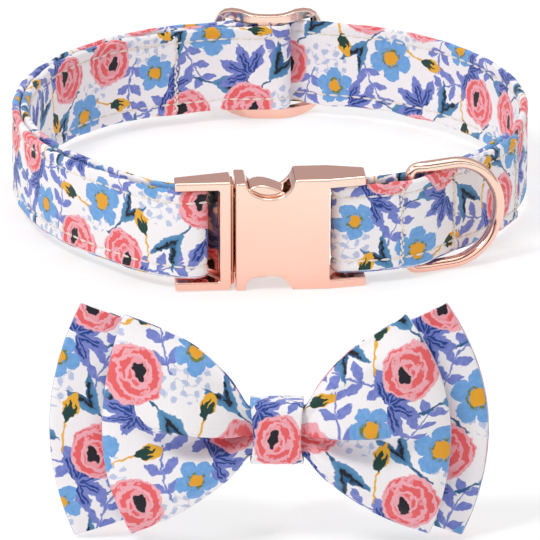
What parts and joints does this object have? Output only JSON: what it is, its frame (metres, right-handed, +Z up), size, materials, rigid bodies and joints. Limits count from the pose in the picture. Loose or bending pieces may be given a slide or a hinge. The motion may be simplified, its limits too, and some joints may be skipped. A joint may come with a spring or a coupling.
{
  "type": "pet bow tie collar",
  "caption": "Printed cotton pet collar closed by a metal side-release buckle, with a slider and a leash D-ring, and its matching bow tie with an elastic loop.",
  "frame": {"origin": "middle of the footprint of the standing collar and its bow tie, on the surface they stand on", "axes": "+Z up, across the strap's width; +Y from the bow tie through the buckle to the slider; +X along the buckle, towards the D-ring"},
  "size_m": [0.14, 0.3258, 0.0574],
  "materials": {
    "rose_gold": "polished rose-gold plating",
    "printed_cotton": "fine cotton with a printed floral on off-white",
    "elastic": "ribbed white elastic"
  },
  "bodies": {
    "collar": {"strap_outer_run": "printed_cotton", "strap_inner_run": "printed_cotton", "strap_fold": "printed_cotton", "buckle_female": "rose_gold", "buckle_male": "rose_gold", "slider": "rose_gold", "bow_front": "printed_cotton", "bow_rear": "printed_cotton", "bow_knot": "printed_cotton", "elastic_loop": "elastic"},
    "d_ring": {"d_ring": "rose_gold"}
  },
  "joints": [
    {"name": "d_ring_swing", "type": "hinge", "parent": "collar", "child": "d_ring", "pos_m": [0.03699, 0.03008, 0.0155], "axis": [0, 0, 1], "range_deg": [-120, 0]}
  ]
}
